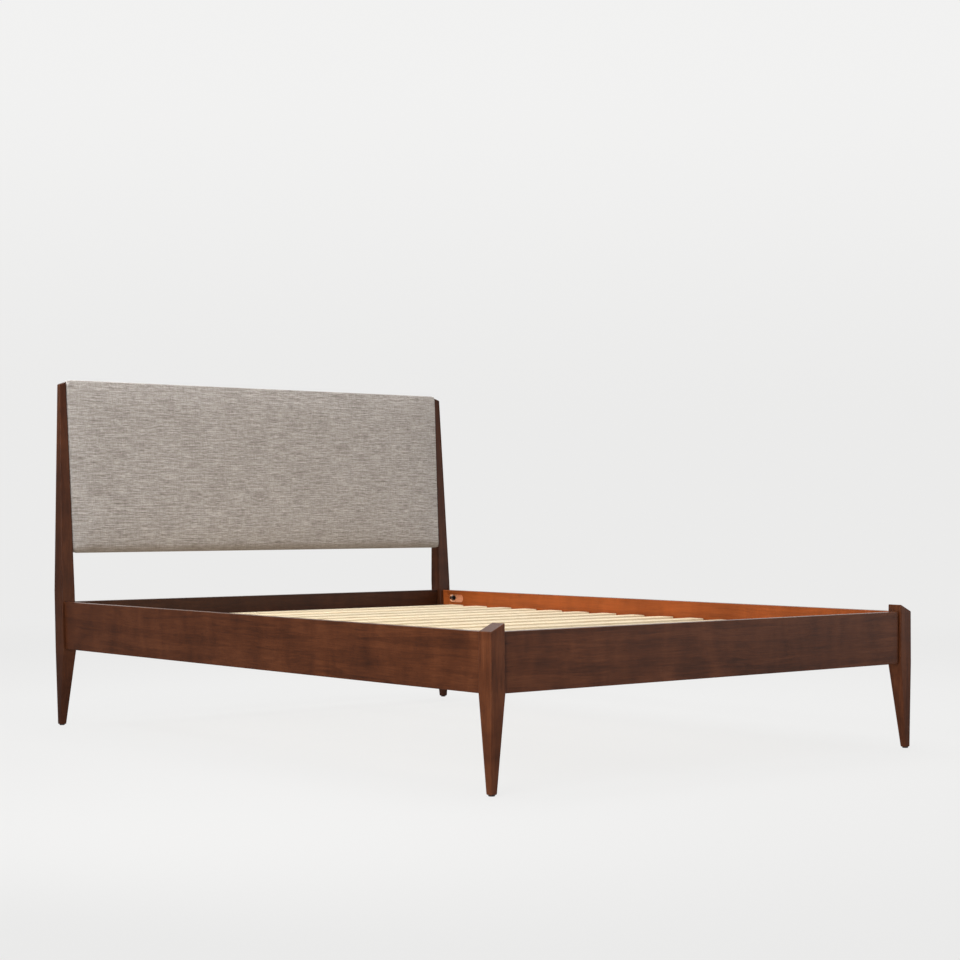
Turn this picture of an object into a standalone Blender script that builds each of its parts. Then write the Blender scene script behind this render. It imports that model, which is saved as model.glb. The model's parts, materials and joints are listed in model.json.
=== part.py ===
"""A double bed frame in stained wood: tapered legs and posts, bolted side rails, loose slats and
an upholstered headboard. Metres, +Z up. The origin is on the floor under the middle of the bed,
+Y runs to the head and +X to the right as seen from the foot."""

import math

import bmesh
import bpy
from mathutils import Matrix, Vector

# Overall sizes
BED_WIDTH = 1.631
BED_LENGTH = 2.2336
FIT_GAP = 0.0003
CUTTER_EXTRA = 0.010  # how far a cutter runs on past the face that it opens
HALF_WIDTH = BED_WIDTH / 2
FOOT_Y = -BED_LENGTH / 2
HEAD_Y = BED_LENGTH / 2

# Rails
RAIL_TOP = 0.403
RAIL_BOTTOM = 0.250
RAIL_THICKNESS = 0.026
RAIL_RECESS = 0.008
RAIL_EDGE = 0.0016
TENON_LENGTH = 0.020
TENON_THICKNESS = 0.010
TENON_SHOULDER = 0.018

# Legs and posts
LEG_SIZE = 0.0485
LEG_EDGE = 0.0026
FOOT_TAPER_OUTER = 0.0035  # what the outer faces lose between the rail's bottom and the floor
FOOT_LEG_TOP_OUTER = 0.404
FOOT_LEG_TOP_INNER = 0.425
FOOT_LEG_TOP_TAPER = 0.0022
FOOT_LEG_BOTTOM_INNER = 0.0240  # from the bed's side to the leg's inner face at the floor
FOOT_LEG_BOTTOM_BACK = 0.0225
POST_TOP_OUTER = 1.118
POST_TOP_INNER = 1.126
POST_LEAN = 0.065  # how far the front face leans back for each metre of height above the rail's bottom
POST_TOP_DEPTH = 0.0187
POST_TOP_TAPER_OUTER = 0.0140
POST_TOP_TAPER_INNER = 0.0110
POST_BOTTOM_INNER = 0.0245
POST_BOTTOM_TAPER_FRONT = 0.0225
POST_BOTTOM_TAPER_BACK = 0.0207
POST_SHOULDER = 0.440  # where the back face turns
POST_FRONT_Y = HEAD_Y - POST_TOP_DEPTH - POST_LEAN * (POST_TOP_OUTER - RAIL_BOTTOM)
POST_BACK_Y = HEAD_Y - 0.0115
HEAD_RAIL_Y = POST_FRONT_Y + 0.024

# Slats
SLAT_COUNT = 15
SLAT_PITCH = 0.1365
SLAT_WIDTH = 0.064
SLAT_THICKNESS = 0.019
SLAT_TOP = 0.3515
SLAT_LENGTH = 1.544
SLAT_EDGE = 0.003
SLAT_CORNER = 0.006
CLEAT_WIDTH = 0.024
CLEAT_HEIGHT = 0.030
CLEAT_END_GAP = 0.060
CLEAT_EDGE = 0.0015

# Bed bolts and their pockets
BOLT_RADIUS = 0.004
BOLT_HOLE_RADIUS = 0.0044
BOLT_HEAD_RADIUS = 0.0065
BOLT_HEAD_LENGTH = 0.008
BOLT_HEAD_CHAMFER = 0.0008
BOLT_TIP_CHAMFER = 0.001
BOLT_TIP_GAP = 0.0015
BOLT_SOCKET_RADIUS = 0.0035
BOLT_SOCKET_DEPTH = 0.004
BOLT_REACH = 0.024  # into the leg or post
POCKET_START = 0.037  # from the rail's end
POCKET_LENGTH = 0.080
POCKET_HEIGHT = 0.029
POCKET_DEPTH = 0.020
POCKET_HEIGHTS = {"upper": 0.3745, "lower": 0.2845}
WASHER_THICKNESS = 0.0055
WASHER_WIDTH = 0.012

# Centre beam and its hangers
BEAM_WIDTH = 0.028
BEAM_HEIGHT = 0.075
BEAM_EDGE = 0.002
HANGER_WALL = 0.002
HANGER_DEPTH = 0.034
HANGER_HEIGHT = 0.050
HANGER_FLANGE = 0.022
HANGER_HOLE_RADIUS = 0.0024

# Headboard panel, in its own leaning frame: across X, up the slope, and back from the posts' front face
PANEL_BOTTOM = 0.562
PANEL_TOP = 1.134
PAD_PROUD = 0.015
PAD_EDGE = 0.013
PAD_SIDE_GAP = 0.0012
CORE_THICKNESS = 0.015
CORE_INSET = 0.003
CORE_EDGE = 0.0012
DUST_COVER_THICKNESS = 0.0012
DUST_COVER_INSET = 0.028
DOWEL_RADIUS = 0.004
DOWEL_IN_POST = 0.016
DOWEL_IN_CORE = 0.030
DOWEL_END_GAP = 0.001
DOWEL_HEIGHTS = {"lower": 0.090, "upper": 0.470}  # up the slope from the panel's lower edge
DOWEL_DEPTH = 0.0081

# Floor glides
GLIDE_HEIGHT = 0.003
GLIDE_RADIUS = 0.0085
GLIDE_RIM = 0.0008
LEG_BOTTOM = GLIDE_HEIGHT + FIT_GAP

SIDES = {"left": -1, "right": 1}


def clear_scene():
    for obj in list(bpy.data.objects):
        bpy.data.objects.remove(obj, do_unlink=True)


def new_collection(name):
    collection = bpy.data.collections.new(name)
    bpy.context.scene.collection.children.link(collection)
    return collection


def new_material(name, colour, roughness, metallic=0.0):
    material = bpy.data.materials.new(name)
    material.use_nodes = True
    shader = material.node_tree.nodes["Principled BSDF"]
    shader.inputs["Base Color"].default_value = (*colour, 1.0)
    shader.inputs["Roughness"].default_value = roughness
    shader.inputs["Metallic"].default_value = metallic
    return material


clear_scene()
BED = new_collection("wooden_bed_frame")
CUTTERS = new_collection("cutters")
STAINED_WOOD = new_material("stained_wood", (0.085, 0.032, 0.017), 0.38)
SOFTWOOD = new_material("softwood", (0.72, 0.58, 0.38), 0.62)
PLYWOOD = new_material("plywood", (0.52, 0.36, 0.20), 0.70)
FABRIC = new_material("fabric", (0.33, 0.30, 0.26), 0.92)
DUST_CLOTH = new_material("dust_cloth", (0.030, 0.030, 0.032), 0.95)
BLACK_STEEL = new_material("black_steel", (0.035, 0.033, 0.032), 0.42, 1.0)
ZINC_STEEL = new_material("zinc_steel", (0.60, 0.60, 0.58), 0.35, 1.0)
GLIDE_PLASTIC = new_material("glide_plastic", (0.045, 0.040, 0.036), 0.55)


def place(name, mesh_builder, material, collection=None):
    """Make one object from a bmesh."""
    mesh = bpy.data.meshes.new(name)
    mesh_builder.to_mesh(mesh)
    mesh_builder.free()
    obj = bpy.data.objects.new(name, mesh)
    (collection or BED).objects.link(obj)
    if material:
        mesh.materials.append(material)
    return obj


def soften(obj, width, segments=2):
    """Round every real corner of a piece, and leave the shallow kinks of a taper alone."""
    bevel = obj.modifiers.new("soft_edges", "BEVEL")
    bevel.width = width
    bevel.segments = segments
    bevel.limit_method = "ANGLE"
    bevel.angle_limit = math.radians(30)
    return obj


def box_mesh(low, high):
    """A cube primitive sized to run from one corner to the other."""
    low, high = Vector(low), Vector(high)
    builder = bmesh.new()
    size = Matrix.Diagonal((*(high - low), 1.0))
    bmesh.ops.create_cube(builder, size=1.0, matrix=Matrix.Translation((low + high) / 2) @ size)
    return builder


def cutter_from(builder, name):
    obj = place(name, builder, None, CUTTERS)
    obj.hide_render = True
    obj.display_type = "WIRE"
    return obj


def cut(obj, cutter):
    boolean = obj.modifiers.new(cutter.name, "BOOLEAN")
    boolean.operation = "DIFFERENCE"
    boolean.object = cutter


def join(obj, addition):
    boolean = obj.modifiers.new(addition.name, "BOOLEAN")
    boolean.operation = "UNION"
    boolean.object = addition


def rod_mesh(radius, start, end, sides=16):
    """A straight round rod between two points."""
    start, end = Vector(start), Vector(end)
    builder = bmesh.new()
    turn = (end - start).to_track_quat("Z", "Y").to_matrix().to_4x4()
    bmesh.ops.create_cone(
        builder,
        cap_ends=True,
        segments=sides,
        radius1=radius,
        radius2=radius,
        depth=(end - start).length,
        matrix=Matrix.Translation((start + end) / 2) @ turn,
    )
    return builder


def lofted_mesh(sections, side):
    """A tapering bar through rectangular sections, from the floor up.

    Each section holds the height at its outer and its inner edge, how far its outer and inner faces
    lie from the bed's side, and the Y of its front and back faces."""
    builder = bmesh.new()
    rings = []
    for z_outer, z_inner, outer, inner, front, back in sections:
        x_outer = side * (HALF_WIDTH - outer)
        x_inner = side * (HALF_WIDTH - inner)
        corners = [
            (x_outer, front, z_outer),
            (x_inner, front, z_inner),
            (x_inner, back, z_inner),
            (x_outer, back, z_outer),
        ]
        rings.append([builder.verts.new(corner) for corner in corners])
    for lower, upper in zip(rings, rings[1:]):
        for i in range(4):
            j = (i + 1) % 4
            builder.faces.new((lower[i], lower[j], upper[j], upper[i]))
    builder.faces.new(rings[0])
    builder.faces.new(rings[-1])
    bmesh.ops.recalc_face_normals(builder, faces=builder.faces)
    return builder


def rail_centre_x(side):
    return side * (HALF_WIDTH - RAIL_RECESS - RAIL_THICKNESS / 2)


def post_front_y(z):
    """Y of a head post's front face at and above the rail's bottom."""
    return POST_FRONT_Y + POST_LEAN * (z - RAIL_BOTTOM)


def add_foot_leg(side_name, side):
    """A leg with a straight upper part behind the rails and a lower part that tapers on its inner faces."""
    back = FOOT_Y + LEG_SIZE
    top_inner = LEG_SIZE - FOOT_LEG_TOP_TAPER
    bottom_front = FOOT_Y + FOOT_TAPER_OUTER
    bottom_back = FOOT_Y + FOOT_LEG_BOTTOM_BACK
    sections = [
        (LEG_BOTTOM, LEG_BOTTOM, FOOT_TAPER_OUTER, FOOT_LEG_BOTTOM_INNER, bottom_front, bottom_back),
        (RAIL_BOTTOM, RAIL_BOTTOM, 0.0, LEG_SIZE, FOOT_Y, back),
        (FOOT_LEG_TOP_OUTER, FOOT_LEG_TOP_INNER, 0.0, top_inner, FOOT_Y, back),
    ]
    leg = place(f"foot_leg_{side_name}", lofted_mesh(sections, side), STAINED_WOOD)
    soften(leg, LEG_EDGE)
    rail_y = FOOT_Y + RAIL_RECESS + RAIL_THICKNESS / 2
    cut(leg, mortise_cutter(f"mortise_foot_{side_name}", side, rail_y))
    x = rail_centre_x(side)
    for height_name, z in POCKET_HEIGHTS.items():
        hole = rod_mesh(
            BOLT_HOLE_RADIUS,
            (x, back + CUTTER_EXTRA, z),
            (x, back - BOLT_REACH - BOLT_TIP_GAP, z),
        )
        cut(leg, cutter_from(hole, f"bolt_hole_foot_{side_name}_{height_name}"))


def add_head_post(side_name, side):
    """A leg that runs on upwards as a post: its front leans back from the rail's bottom edge, its
    back kinks a little above the rail, and it thins towards the top and the foot."""
    foot_front = POST_FRONT_Y + POST_BOTTOM_TAPER_FRONT
    foot_back = POST_BACK_Y - POST_BOTTOM_TAPER_BACK
    rail_back = POST_BACK_Y - POST_BOTTOM_TAPER_BACK * (POST_SHOULDER - RAIL_BOTTOM) / POST_SHOULDER
    shoulder_front = post_front_y(POST_SHOULDER)
    top_front = post_front_y(POST_TOP_OUTER)
    top_inner = LEG_SIZE - POST_TOP_TAPER_INNER
    sections = [
        (LEG_BOTTOM, LEG_BOTTOM, FOOT_TAPER_OUTER, POST_BOTTOM_INNER, foot_front, foot_back),
        (RAIL_BOTTOM, RAIL_BOTTOM, 0.0, LEG_SIZE, POST_FRONT_Y, rail_back),
        (POST_SHOULDER, POST_SHOULDER, 0.0, LEG_SIZE, shoulder_front, POST_BACK_Y),
        (POST_TOP_OUTER, POST_TOP_INNER, POST_TOP_TAPER_OUTER, top_inner, top_front, HEAD_Y),
    ]
    post = place(f"head_post_{side_name}", lofted_mesh(sections, side), STAINED_WOOD)
    soften(post, LEG_EDGE)
    rail_y = HEAD_RAIL_Y + RAIL_THICKNESS / 2
    cut(post, mortise_cutter(f"mortise_head_{side_name}", side, rail_y))
    x = rail_centre_x(side)
    for height_name, z in POCKET_HEIGHTS.items():
        front = post_front_y(z)
        hole = rod_mesh(
            BOLT_HOLE_RADIUS,
            (x, front - CUTTER_EXTRA, z),
            (x, front + BOLT_REACH + BOLT_TIP_GAP, z),
        )
        cut(post, cutter_from(hole, f"bolt_hole_head_{side_name}_{height_name}"))
    for height_name, up in DOWEL_HEIGHTS.items():
        start, end = dowel_ends(side, up, DOWEL_IN_POST + DOWEL_END_GAP, CUTTER_EXTRA)
        hole = rod_mesh(DOWEL_RADIUS + FIT_GAP, start, end, sides=12)
        cut(post, cutter_from(hole, f"dowel_hole_post_{side_name}_{height_name}"))


def mortise_cutter(name, side, rail_y):
    """The slot that a cross rail's tenon sits in."""
    half = TENON_THICKNESS / 2 + FIT_GAP
    inner = side * (HALF_WIDTH - LEG_SIZE - CUTTER_EXTRA)
    deep = side * (HALF_WIDTH - LEG_SIZE + TENON_LENGTH + 2 * FIT_GAP)
    low = (min(inner, deep), rail_y - half, RAIL_BOTTOM + TENON_SHOULDER - FIT_GAP)
    high = (max(inner, deep), rail_y + half, RAIL_TOP - TENON_SHOULDER + FIT_GAP)
    return cutter_from(box_mesh(low, high), name)


def add_cross_rail(name, front_y):
    """A board between two legs, with a tenon at each end."""
    half = HALF_WIDTH - LEG_SIZE - FIT_GAP
    board = box_mesh((-half, front_y, RAIL_BOTTOM), (half, front_y + RAIL_THICKNESS, RAIL_TOP))
    rail = soften(place(name, board, STAINED_WOOD), RAIL_EDGE)
    middle = front_y + RAIL_THICKNESS / 2
    reach = half + TENON_LENGTH
    tenon = box_mesh(
        (-reach, middle - TENON_THICKNESS / 2, RAIL_BOTTOM + TENON_SHOULDER),
        (reach, middle + TENON_THICKNESS / 2, RAIL_TOP - TENON_SHOULDER),
    )
    join(rail, cutter_from(tenon, f"{name}_tenons"))


def pocket_cutter(name, side, y_from, y_to, z):
    """A slot with round ends, milled into a side rail's inner face."""
    radius = POCKET_HEIGHT / 2
    inner = side * (HALF_WIDTH - RAIL_RECESS - RAIL_THICKNESS)
    deep = inner + side * POCKET_DEPTH
    shallow = inner - side * CUTTER_EXTRA
    builder = rod_mesh(radius, (min(deep, shallow), 0, z), (max(deep, shallow), 0, z), sides=24)
    for vert in builder.verts:
        vert.co.y += y_to - radius if vert.co.y > 0 else y_from + radius
    return cutter_from(builder, name)


def add_side_rail(side_name, side):
    """A long board whose head end is cut to the post's slope, with two bolt pockets at each end."""
    outer = side * (HALF_WIDTH - RAIL_RECESS)
    inner = outer - side * RAIL_THICKNESS
    foot_end = FOOT_Y + LEG_SIZE + FIT_GAP
    head_end = POST_FRONT_Y - FIT_GAP
    low = (min(outer, inner), foot_end, RAIL_BOTTOM)
    high = (max(outer, inner), head_end, RAIL_TOP)
    board = box_mesh(low, high)
    for vert in board.verts:
        if vert.co.y > 0 and vert.co.z > (RAIL_BOTTOM + RAIL_TOP) / 2:
            vert.co.y += POST_LEAN * (RAIL_TOP - RAIL_BOTTOM)
    rail = soften(place(f"side_rail_{side_name}", board, STAINED_WOOD), RAIL_EDGE)
    x = rail_centre_x(side)
    for height_name, z in POCKET_HEIGHTS.items():
        ends = {
            "foot": (foot_end, 1),
            "head": (post_front_y(z) - FIT_GAP, -1),
        }
        for end_name, (end_y, inward) in ends.items():
            near = end_y + inward * POCKET_START
            far = near + inward * POCKET_LENGTH
            label = f"{end_name}_{side_name}_{height_name}"
            cut(rail, pocket_cutter(f"pocket_{label}", side, min(near, far), max(near, far), z))
            hole = rod_mesh(
                BOLT_HOLE_RADIUS,
                (x, end_y - inward * CUTTER_EXTRA, z),
                (x, near + inward * POCKET_HEIGHT / 2, z),
            )
            cut(rail, cutter_from(hole, f"rail_bolt_hole_{label}"))
            add_bolt(label, x, near, inward, z)
            add_washer(label, x, near, inward, z)


def turned_piece(name, profile, material, steps):
    """A profile of radius and height, from its top down, turned about Z."""
    builder = bmesh.new()
    verts = [builder.verts.new((radius, 0.0, z)) for radius, z in profile]
    for upper, lower in zip(verts, verts[1:]):
        builder.edges.new((upper, lower))
    obj = place(name, builder, material)
    screw = obj.modifiers.new("turned", "SCREW")
    screw.steps = steps
    screw.render_steps = steps
    screw.use_merge_vertices = True
    screw.merge_threshold = 0.00001
    return obj


def add_bolt(label, x, pocket_wall, inward, z):
    """A cap bolt whose head bears on its half-moon washer and whose shank ends in the leg or post."""
    shank = POCKET_START + BOLT_REACH + WASHER_THICKNESS
    profile = [
        (0.0, BOLT_HEAD_LENGTH),
        (BOLT_HEAD_RADIUS - BOLT_HEAD_CHAMFER, BOLT_HEAD_LENGTH),
        (BOLT_HEAD_RADIUS, BOLT_HEAD_LENGTH - BOLT_HEAD_CHAMFER),
        (BOLT_HEAD_RADIUS, 0.0),
        (BOLT_RADIUS, 0.0),
        (BOLT_RADIUS, -shank + BOLT_TIP_CHAMFER),
        (BOLT_RADIUS - BOLT_TIP_CHAMFER, -shank),
        (0.0, -shank),
    ]
    bolt = turned_piece(f"bed_bolt_{label}", profile, BLACK_STEEL, 16)
    seat = pocket_wall + inward * (WASHER_THICKNESS + FIT_GAP)
    bolt.location = (x, seat, z)
    bolt.rotation_euler = (-inward * math.pi / 2, 0, 0)
    socket = bmesh.new()
    bmesh.ops.create_cone(
        socket,
        cap_ends=True,
        segments=6,
        radius1=BOLT_SOCKET_RADIUS,
        radius2=BOLT_SOCKET_RADIUS,
        depth=2 * BOLT_SOCKET_DEPTH,
        matrix=Matrix.Translation((0, 0, BOLT_HEAD_LENGTH)),
    )
    hexagon = cutter_from(socket, f"hex_socket_{label}")
    hexagon.parent = bolt
    cut(bolt, hexagon)


def add_washer(label, x, pocket_wall, inward, z):
    """A half-moon washer: its round side fits the pocket's end, and its flat side takes the bolt's head."""
    radius = POCKET_HEIGHT / 2 - FIT_GAP
    centre = pocket_wall + inward * POCKET_HEIGHT / 2
    half = WASHER_WIDTH / 2
    builder = rod_mesh(radius, (x - half, centre, z), (x + half, centre, z), sides=24)
    washer = place(f"half_moon_washer_{label}", builder, ZINC_STEEL)
    flat = pocket_wall + inward * WASHER_THICKNESS
    away = flat + inward * POCKET_HEIGHT
    low = (x - WASHER_WIDTH, min(flat, away), z - POCKET_HEIGHT)
    high = (x + WASHER_WIDTH, max(flat, away), z + POCKET_HEIGHT)
    cut(washer, cutter_from(box_mesh(low, high), f"washer_flat_{label}"))
    beyond = inward * 2 * WASHER_THICKNESS
    hole = rod_mesh(BOLT_HOLE_RADIUS, (x, flat - beyond, z), (x, flat + beyond, z))
    cut(washer, cutter_from(hole, f"washer_hole_{label}"))


def add_cleat(side_name, side):
    """A softwood strip along the inside of a side rail, which the slats lie on."""
    outer = side * (HALF_WIDTH - RAIL_RECESS - RAIL_THICKNESS - FIT_GAP)
    inner = outer - side * CLEAT_WIDTH
    top = SLAT_TOP - SLAT_THICKNESS - FIT_GAP
    low = (min(outer, inner), FOOT_Y + RAIL_RECESS + RAIL_THICKNESS + CLEAT_END_GAP, top - CLEAT_HEIGHT)
    high = (max(outer, inner), HEAD_RAIL_Y - CLEAT_END_GAP, top)
    soften(place(f"slat_cleat_{side_name}", box_mesh(low, high), SOFTWOOD), CLEAT_EDGE)


def add_slats():
    """Fifteen loose slats, centred between the foot rail and the head rail."""
    middle = (FOOT_Y + RAIL_RECESS + RAIL_THICKNESS + HEAD_RAIL_Y) / 2
    first = middle - SLAT_PITCH * (SLAT_COUNT - 1) / 2
    for i in range(SLAT_COUNT):
        y = first + i * SLAT_PITCH
        low = (-SLAT_LENGTH / 2, y - SLAT_WIDTH / 2, SLAT_TOP - SLAT_THICKNESS)
        high = (SLAT_LENGTH / 2, y + SLAT_WIDTH / 2, SLAT_TOP)
        board = box_mesh(low, high)
        upright = [e for e in board.edges if abs(e.verts[0].co.z - e.verts[1].co.z) > SLAT_THICKNESS / 2]
        bmesh.ops.bevel(board, geom=upright, offset=SLAT_CORNER, segments=3, profile=0.5, affect="EDGES")
        soften(place(f"slat_{i + 1:02d}", board, SOFTWOOD), SLAT_EDGE)


def add_centre_beam():
    """A softwood beam under the middle of the slats, held at both ends in steel hangers."""
    top = SLAT_TOP - SLAT_THICKNESS - FIT_GAP
    foot_face = FOOT_Y + RAIL_RECESS + RAIL_THICKNESS
    low = (-BEAM_WIDTH / 2, foot_face + HANGER_WALL + 3 * FIT_GAP, top - BEAM_HEIGHT)
    high = (BEAM_WIDTH / 2, HEAD_RAIL_Y - HANGER_WALL - 3 * FIT_GAP, top)
    soften(place("centre_beam", box_mesh(low, high), SOFTWOOD), BEAM_EDGE)
    bottom = top - BEAM_HEIGHT
    add_hanger("foot", foot_face + FIT_GAP, 1, bottom)
    add_hanger("head", HEAD_RAIL_Y - FIT_GAP, -1, bottom)


def add_hanger(end_name, face_y, inward, beam_bottom):
    """A folded steel shoe: a plate screwed to the rail, with two cheeks and a floor around the beam."""
    half = BEAM_WIDTH / 2 + FIT_GAP
    bottom = beam_bottom - FIT_GAP - HANGER_WALL
    reach = face_y + inward * HANGER_DEPTH
    plate_back = face_y + inward * HANGER_WALL
    plate = box_mesh(
        (-half - HANGER_WALL - HANGER_FLANGE, min(face_y, plate_back), bottom),
        (half + HANGER_WALL + HANGER_FLANGE, max(face_y, plate_back), bottom + HANGER_HEIGHT),
    )
    hanger = place(f"beam_hanger_{end_name}", plate, ZINC_STEEL)
    shoe = box_mesh(
        (-half - HANGER_WALL, min(face_y, reach), bottom),
        (half + HANGER_WALL, max(face_y, reach), bottom + HANGER_HEIGHT),
    )
    join(hanger, cutter_from(shoe, f"hanger_shoe_{end_name}"))
    start = face_y + inward * HANGER_WALL
    stop = reach + inward * CUTTER_EXTRA
    room = box_mesh(
        (-half, min(start, stop), bottom + HANGER_WALL),
        (half, max(start, stop), bottom + HANGER_HEIGHT + CUTTER_EXTRA),
    )
    cut(hanger, cutter_from(room, f"hanger_room_{end_name}"))
    for side in SIDES.values():
        for percent_up in (25, 75):
            x = side * (half + HANGER_WALL + HANGER_FLANGE / 2)
            z = bottom + HANGER_HEIGHT * percent_up / 100
            before, behind = (x, face_y - CUTTER_EXTRA, z), (x, face_y + CUTTER_EXTRA, z)
            hole = rod_mesh(HANGER_HOLE_RADIUS, before, behind, sides=12)
            cut(hanger, cutter_from(hole, f"hanger_hole_{end_name}_{side}_{percent_up}"))


def panel_point(x, up, back):
    """A point of the headboard, from its place across, up the slope and back from the posts' front face."""
    slope = math.atan(POST_LEAN)
    start_y = post_front_y(PANEL_BOTTOM)
    y = start_y + up * math.sin(slope) + back * math.cos(slope)
    z = PANEL_BOTTOM + up * math.cos(slope) - back * math.sin(slope)
    return Vector((x, y, z))


PANEL_BACKWARD = panel_point(0, 0, 1) - panel_point(0, 0, 0)


def panel_half_width(z):
    """Half the clear width between the two posts."""
    share = max(0.0, (z - POST_SHOULDER) / (POST_TOP_OUTER - POST_SHOULDER))
    return HALF_WIDTH - LEG_SIZE + POST_TOP_TAPER_INNER * share


def panel_slab(inset, front, back):
    """A slab with the headboard's outline, slightly wider at its top, as the posts are."""
    height = (PANEL_TOP - PANEL_BOTTOM) / math.cos(math.atan(POST_LEAN))
    builder = bmesh.new()
    bmesh.ops.create_cube(builder, size=2.0)
    for vert in builder.verts:
        up = inset if vert.co.z < 0 else height - inset
        depth = front if vert.co.y < 0 else back
        half = panel_half_width(PANEL_BOTTOM + up * math.cos(math.atan(POST_LEAN))) - inset
        vert.co = panel_point(half * (1 if vert.co.x > 0 else -1), up, depth)
    return builder


def dowel_ends(side, up, in_post, in_core):
    """Both ends of a headboard dowel, which lies across the bed."""
    middle = panel_point(0, up, DOWEL_DEPTH)
    face = panel_half_width(middle.z)
    start = (side * (face + in_post), middle.y, middle.z)
    end = (side * (face - in_core), middle.y, middle.z)
    return start, end


def add_headboard():
    """The upholstered pad on its core board, the dust cover behind it, and the dowels that hold it up."""
    pad = panel_slab(PAD_SIDE_GAP, -PAD_PROUD, FIT_GAP)
    pad.verts.ensure_lookup_table()
    back_face = panel_point(0, 0, 0)
    front = {vert for vert in pad.verts if (vert.co - back_face).dot(PANEL_BACKWARD) < 0}
    rounded = [edge for edge in pad.edges if front & set(edge.verts)]
    bmesh.ops.bevel(pad, geom=rounded, offset=PAD_EDGE, segments=3, profile=0.5, affect="EDGES")
    place("headboard_pad", pad, FABRIC)
    core = place(
        "headboard_core",
        panel_slab(PAD_SIDE_GAP + CORE_INSET, 2 * FIT_GAP, 2 * FIT_GAP + CORE_THICKNESS),
        PLYWOOD,
    )
    soften(core, CORE_EDGE)
    cover_front = 3 * FIT_GAP + CORE_THICKNESS
    cover = panel_slab(DUST_COVER_INSET, cover_front, cover_front + DUST_COVER_THICKNESS)
    place("headboard_dust_cover", cover, DUST_CLOTH)
    for side_name, side in SIDES.items():
        for height_name, up in DOWEL_HEIGHTS.items():
            label = f"{side_name}_{height_name}"
            start, end = dowel_ends(side, up, DOWEL_IN_POST, DOWEL_IN_CORE)
            dowel = rod_mesh(DOWEL_RADIUS, start, end, sides=12)
            place(f"headboard_dowel_{label}", dowel, ZINC_STEEL)
            start, end = dowel_ends(side, up, CUTTER_EXTRA, DOWEL_IN_CORE + DOWEL_END_GAP)
            hole = rod_mesh(DOWEL_RADIUS + FIT_GAP, start, end, sides=12)
            cut(core, cutter_from(hole, f"dowel_hole_core_{label}"))


def add_glide(name, x, y):
    """A round plastic glide nailed under a foot."""
    profile = [
        (0.0, GLIDE_HEIGHT),
        (GLIDE_RADIUS, GLIDE_HEIGHT),
        (GLIDE_RADIUS, GLIDE_RIM),
        (GLIDE_RADIUS - GLIDE_RIM, 0.0),
        (0.0, 0.0),
    ]
    glide = turned_piece(name, profile, GLIDE_PLASTIC, 20)
    glide.location = (x, y, 0.0)


def add_glides():
    """One glide under the middle of each foot."""
    foot_x = HALF_WIDTH - (FOOT_TAPER_OUTER + FOOT_LEG_BOTTOM_INNER) / 2
    post_x = HALF_WIDTH - (FOOT_TAPER_OUTER + POST_BOTTOM_INNER) / 2
    foot_y = FOOT_Y + (FOOT_TAPER_OUTER + FOOT_LEG_BOTTOM_BACK) / 2
    post_y = (POST_FRONT_Y + POST_BOTTOM_TAPER_FRONT + POST_BACK_Y - POST_BOTTOM_TAPER_BACK) / 2
    for side_name, side in SIDES.items():
        add_glide(f"floor_glide_foot_{side_name}", side * foot_x, foot_y)
        add_glide(f"floor_glide_head_{side_name}", side * post_x, post_y)


for side_name, side in SIDES.items():
    add_foot_leg(side_name, side)
    add_head_post(side_name, side)
    add_side_rail(side_name, side)
    add_cleat(side_name, side)
add_cross_rail("foot_rail", FOOT_Y + RAIL_RECESS)
add_cross_rail("head_rail", HEAD_RAIL_Y)
add_slats()
add_centre_beam()
add_headboard()
add_glides()
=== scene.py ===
"""The looks of a double bed frame in stained wood, with loose slats and an upholstered headboard."""

import json
import math

import bmesh
import bpy
import numpy as np
from mathutils import Matrix, Vector

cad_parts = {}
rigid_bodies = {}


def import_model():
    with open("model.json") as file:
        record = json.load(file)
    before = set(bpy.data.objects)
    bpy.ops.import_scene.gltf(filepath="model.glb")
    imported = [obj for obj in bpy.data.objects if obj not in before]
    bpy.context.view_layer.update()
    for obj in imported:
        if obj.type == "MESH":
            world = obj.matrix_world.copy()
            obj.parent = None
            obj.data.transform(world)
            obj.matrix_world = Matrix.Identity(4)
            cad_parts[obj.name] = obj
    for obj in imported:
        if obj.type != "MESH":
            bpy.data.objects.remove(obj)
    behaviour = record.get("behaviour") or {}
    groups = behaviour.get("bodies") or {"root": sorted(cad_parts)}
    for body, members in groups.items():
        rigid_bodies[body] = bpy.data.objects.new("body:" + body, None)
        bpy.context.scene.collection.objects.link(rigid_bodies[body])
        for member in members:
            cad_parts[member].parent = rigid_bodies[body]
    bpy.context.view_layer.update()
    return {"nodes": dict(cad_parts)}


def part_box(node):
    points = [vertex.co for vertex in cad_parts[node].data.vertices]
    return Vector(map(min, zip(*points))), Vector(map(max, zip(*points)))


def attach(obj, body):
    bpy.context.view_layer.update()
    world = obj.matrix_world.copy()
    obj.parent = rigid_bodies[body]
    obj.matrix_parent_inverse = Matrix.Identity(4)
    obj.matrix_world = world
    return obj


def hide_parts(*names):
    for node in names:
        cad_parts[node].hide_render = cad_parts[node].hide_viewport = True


for leftover in list(bpy.data.objects):
    bpy.data.objects.remove(leftover, do_unlink=True)
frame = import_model()
nodes = frame["nodes"]

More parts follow.
